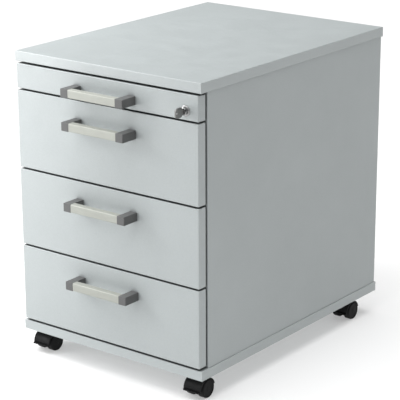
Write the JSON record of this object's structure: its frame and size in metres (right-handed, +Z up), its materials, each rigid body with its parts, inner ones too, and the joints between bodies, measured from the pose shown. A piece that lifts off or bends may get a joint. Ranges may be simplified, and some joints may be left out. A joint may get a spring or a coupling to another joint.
{
  "type": "mobile drawer pedestal",
  "caption": "Mobile office drawer pedestal with one shallow and three deep drawers on ball runners, bar handles, central lock and twin-wheel casters.",
  "frame": {"origin": "on the floor, under the middle of the whole object's width and depth, handles included", "axes": "+X to the right of someone facing the drawers, +Y from the drawer fronts to the back, +Z up"},
  "size_m": [0.428, 0.618, 0.59],
  "materials": {
    "board": "melamine-faced particle board, light grey, fine matt texture",
    "edging": "light grey plastic edging, satin",
    "dowel_wood": "fluted beech dowel",
    "zinc": "zinc-plated",
    "runner_steel": "bright zinc-plated steel",
    "guide_plastic": "natural nylon",
    "ball_cage": "pressed steel with steel balls",
    "drawer_steel": "powder-coated grey, fine orange peel",
    "handle_post": "dark grey satin metal",
    "handle_bar": "satin, fine lengthwise brushing",
    "tray": "moulded, fine texture",
    "lock_metal": "nickel-plated",
    "key_metal": "nickel-plated brass, worn",
    "caster_black": "moulded black plastic, satin",
    "wheel_black": "hard black plastic wheel"
  },
  "bodies": {
    "carcass": {"top_panel": "board", "bottom_panel": "board", "left_side_panel": "board", "right_side_panel": "board", "back_panel": "board", "carcass_edging": "edging", "carcass_dowels": "dowel_wood", "carcass_connectors": "zinc", "cabinet_runners": "runner_steel", "runner_screws": "runner_steel", "lock_bar_guides": "guide_plastic", "caster_plates": "runner_steel", "caster_screws": "runner_steel"},
    "drawer_1": {"drawer_1_front": "board", "drawer_1_handle_posts": "handle_post", "drawer_1_handle_bar": "handle_bar", "drawer_1_box": "drawer_steel", "drawer_1_runners": "runner_steel", "pencil_tray": "tray", "lock_housing": "lock_metal"},
    "ball_cages_1": {"drawer_1_ball_cages": "ball_cage"},
    "drawer_2": {"drawer_2_front": "board", "drawer_2_handle_posts": "handle_post", "drawer_2_handle_bar": "handle_bar", "drawer_2_box": "drawer_steel", "drawer_2_runners": "runner_steel"},
    "ball_cages_2": {"drawer_2_ball_cages": "ball_cage"},
    "drawer_3": {"drawer_3_front": "board", "drawer_3_handle_posts": "handle_post", "drawer_3_handle_bar": "handle_bar", "drawer_3_box": "drawer_steel", "drawer_3_runners": "runner_steel"},
    "ball_cages_3": {"drawer_3_ball_cages": "ball_cage"},
    "drawer_4": {"drawer_4_front": "board", "drawer_4_handle_posts": "handle_post", "drawer_4_handle_bar": "handle_bar", "drawer_4_box": "drawer_steel", "drawer_4_runners": "runner_steel"},
    "ball_cages_4": {"drawer_4_ball_cages": "ball_cage"},
    "lock_plug": {"lock_plug": "lock_metal"},
    "key": {"key": "key_metal"},
    "lock_bar": {"lock_bar": "zinc"},
    "front_left_caster": {"front_left_caster_housing": "caster_black", "front_left_caster_pins": "runner_steel"},
    "front_left_wheel_left": {"front_left_wheel_left": "wheel_black"},
    "front_left_wheel_right": {"front_left_wheel_right": "wheel_black"},
    "front_left_brake_pedal": {"front_left_brake_pedal": "caster_black"},
    "front_right_caster": {"front_right_caster_housing": "caster_black", "front_right_caster_pins": "runner_steel"},
    "front_right_wheel_left": {"front_right_wheel_left": "wheel_black"},
    "front_right_wheel_right": {"front_right_wheel_right": "wheel_black"},
    "front_right_brake_pedal": {"front_right_brake_pedal": "caster_black"},
    "rear_left_caster": {"rear_left_caster_housing": "caster_black", "rear_left_caster_pins": "runner_steel"},
    "rear_left_wheel_left": {"rear_left_wheel_left": "wheel_black"},
    "rear_left_wheel_right": {"rear_left_wheel_right": "wheel_black"},
    "rear_right_caster": {"rear_right_caster_housing": "caster_black", "rear_right_caster_pins": "runner_steel"},
    "rear_right_wheel_left": {"rear_right_wheel_left": "wheel_black"},
    "rear_right_wheel_right": {"rear_right_wheel_right": "wheel_black"}
  },
  "joints": [
    {"name": "drawer_1_slide", "type": "slide", "parent": "carcass", "child": "drawer_1", "axis": [0, -1, 0], "range_m": [0, 0.3]},
    {"name": "ball_cages_1_slide", "type": "slide", "parent": "carcass", "child": "ball_cages_1", "axis": [0, -1, 0], "range_m": [0, 0.15]},
    {"name": "drawer_2_slide", "type": "slide", "parent": "carcass", "child": "drawer_2", "axis": [0, -1, 0], "range_m": [0, 0.38]},
    {"name": "ball_cages_2_slide", "type": "slide", "parent": "carcass", "child": "ball_cages_2", "axis": [0, -1, 0], "range_m": [0, 0.19]},
    {"name": "drawer_3_slide", "type": "slide", "parent": "carcass", "child": "drawer_3", "axis": [0, -1, 0], "range_m": [0, 0.38]},
    {"name": "ball_cages_3_slide", "type": "slide", "parent": "carcass", "child": "ball_cages_3", "axis": [0, -1, 0], "range_m": [0, 0.19]},
    {"name": "drawer_4_slide", "type": "slide", "parent": "carcass", "child": "drawer_4", "axis": [0, -1, 0], "range_m": [0, 0.38]},
    {"name": "ball_cages_4_slide", "type": "slide", "parent": "carcass", "child": "ball_cages_4", "axis": [0, -1, 0], "range_m": [0, 0.19]},
    {"name": "lock_turn", "type": "hinge", "parent": "drawer_1", "child": "lock_plug", "pos_m": [0.182, -0.273, 0.538], "axis": [0, -1, 0], "range_deg": [0, 90]},
    {"name": "key_withdraw", "type": "slide", "parent": "lock_plug", "child": "key", "axis": [0, -1, 0], "range_m": [0, 0.03]},
    {"name": "lock_bar_lift", "type": "slide", "parent": "carcass", "child": "lock_bar", "axis": [0, 0, 1], "range_m": [0, 0.0099]},
    {"name": "front_left_swivel", "type": "hinge", "parent": "carcass", "child": "front_left_caster", "pos_m": [-0.183, -0.222, 0.0175], "axis": [0, 0, 1], "continuous": true},
    {"name": "front_left_wheel_left_spin", "type": "hinge", "parent": "front_left_caster", "child": "front_left_wheel_left", "pos_m": [-0.183, -0.2375, 0.0175], "axis": [1, 0, 0], "continuous": true},
    {"name": "front_left_wheel_right_spin", "type": "hinge", "parent": "front_left_caster", "child": "front_left_wheel_right", "pos_m": [-0.183, -0.2375, 0.0175], "axis": [1, 0, 0], "continuous": true},
    {"name": "front_left_brake_pedal_press", "type": "hinge", "parent": "front_left_caster", "child": "front_left_brake_pedal", "pos_m": [-0.183, -0.24239, 0.0371], "axis": [1, 0, 0], "range_deg": [0, 8]},
    {"name": "front_right_swivel", "type": "hinge", "parent": "carcass", "child": "front_right_caster", "pos_m": [0.183, -0.222, 0.0175], "axis": [0, 0, 1], "continuous": true},
    {"name": "front_right_wheel_left_spin", "type": "hinge", "parent": "front_right_caster", "child": "front_right_wheel_left", "pos_m": [0.183, -0.2375, 0.0175], "axis": [1, 0, 0], "continuous": true},
    {"name": "front_right_wheel_right_spin", "type": "hinge", "parent": "front_right_caster", "child": "front_right_wheel_right", "pos_m": [0.183, -0.2375, 0.0175], "axis": [1, 0, 0], "continuous": true},
    {"name": "front_right_brake_pedal_press", "type": "hinge", "parent": "front_right_caster", "child": "front_right_brake_pedal", "pos_m": [0.183, -0.24239, 0.0371], "axis": [1, 0, 0], "range_deg": [0, 8]},
    {"name": "rear_left_swivel", "type": "hinge", "parent": "carcass", "child": "rear_left_caster", "pos_m": [-0.183, 0.26, 0.0175], "axis": [0, 0, 1], "continuous": true},
    {"name": "rear_left_wheel_left_spin", "type": "hinge", "parent": "rear_left_caster", "child": "rear_left_wheel_left", "pos_m": [-0.183, 0.2445, 0.0175], "axis": [1, 0, 0], "continuous": true},
    {"name": "rear_left_wheel_right_spin", "type": "hinge", "parent": "rear_left_caster", "child": "rear_left_wheel_right", "pos_m": [-0.183, 0.2445, 0.0175], "axis": [1, 0, 0], "continuous": true},
    {"name": "rear_right_swivel", "type": "hinge", "parent": "carcass", "child": "rear_right_caster", "pos_m": [0.183, 0.26, 0.0175], "axis": [0, 0, 1], "continuous": true},
    {"name": "rear_right_wheel_left_spin", "type": "hinge", "parent": "rear_right_caster", "child": "rear_right_wheel_left", "pos_m": [0.183, 0.2445, 0.0175], "axis": [1, 0, 0], "continuous": true},
    {"name": "rear_right_wheel_right_spin", "type": "hinge", "parent": "rear_right_caster", "child": "rear_right_wheel_right", "pos_m": [0.183, 0.2445, 0.0175], "axis": [1, 0, 0], "continuous": true}
  ],
  "couplings": [
    {"joint": "ball_cages_1_slide", "follows": "drawer_1_slide", "ratio": 0.5},
    {"joint": "ball_cages_2_slide", "follows": "drawer_2_slide", "ratio": 0.5},
    {"joint": "ball_cages_3_slide", "follows": "drawer_3_slide", "ratio": 0.5},
    {"joint": "ball_cages_4_slide", "follows": "drawer_4_slide", "ratio": 0.5},
    {"joint": "lock_turn", "follows": "lock_bar_lift", "rad_per_m": 158.67}
  ]
}
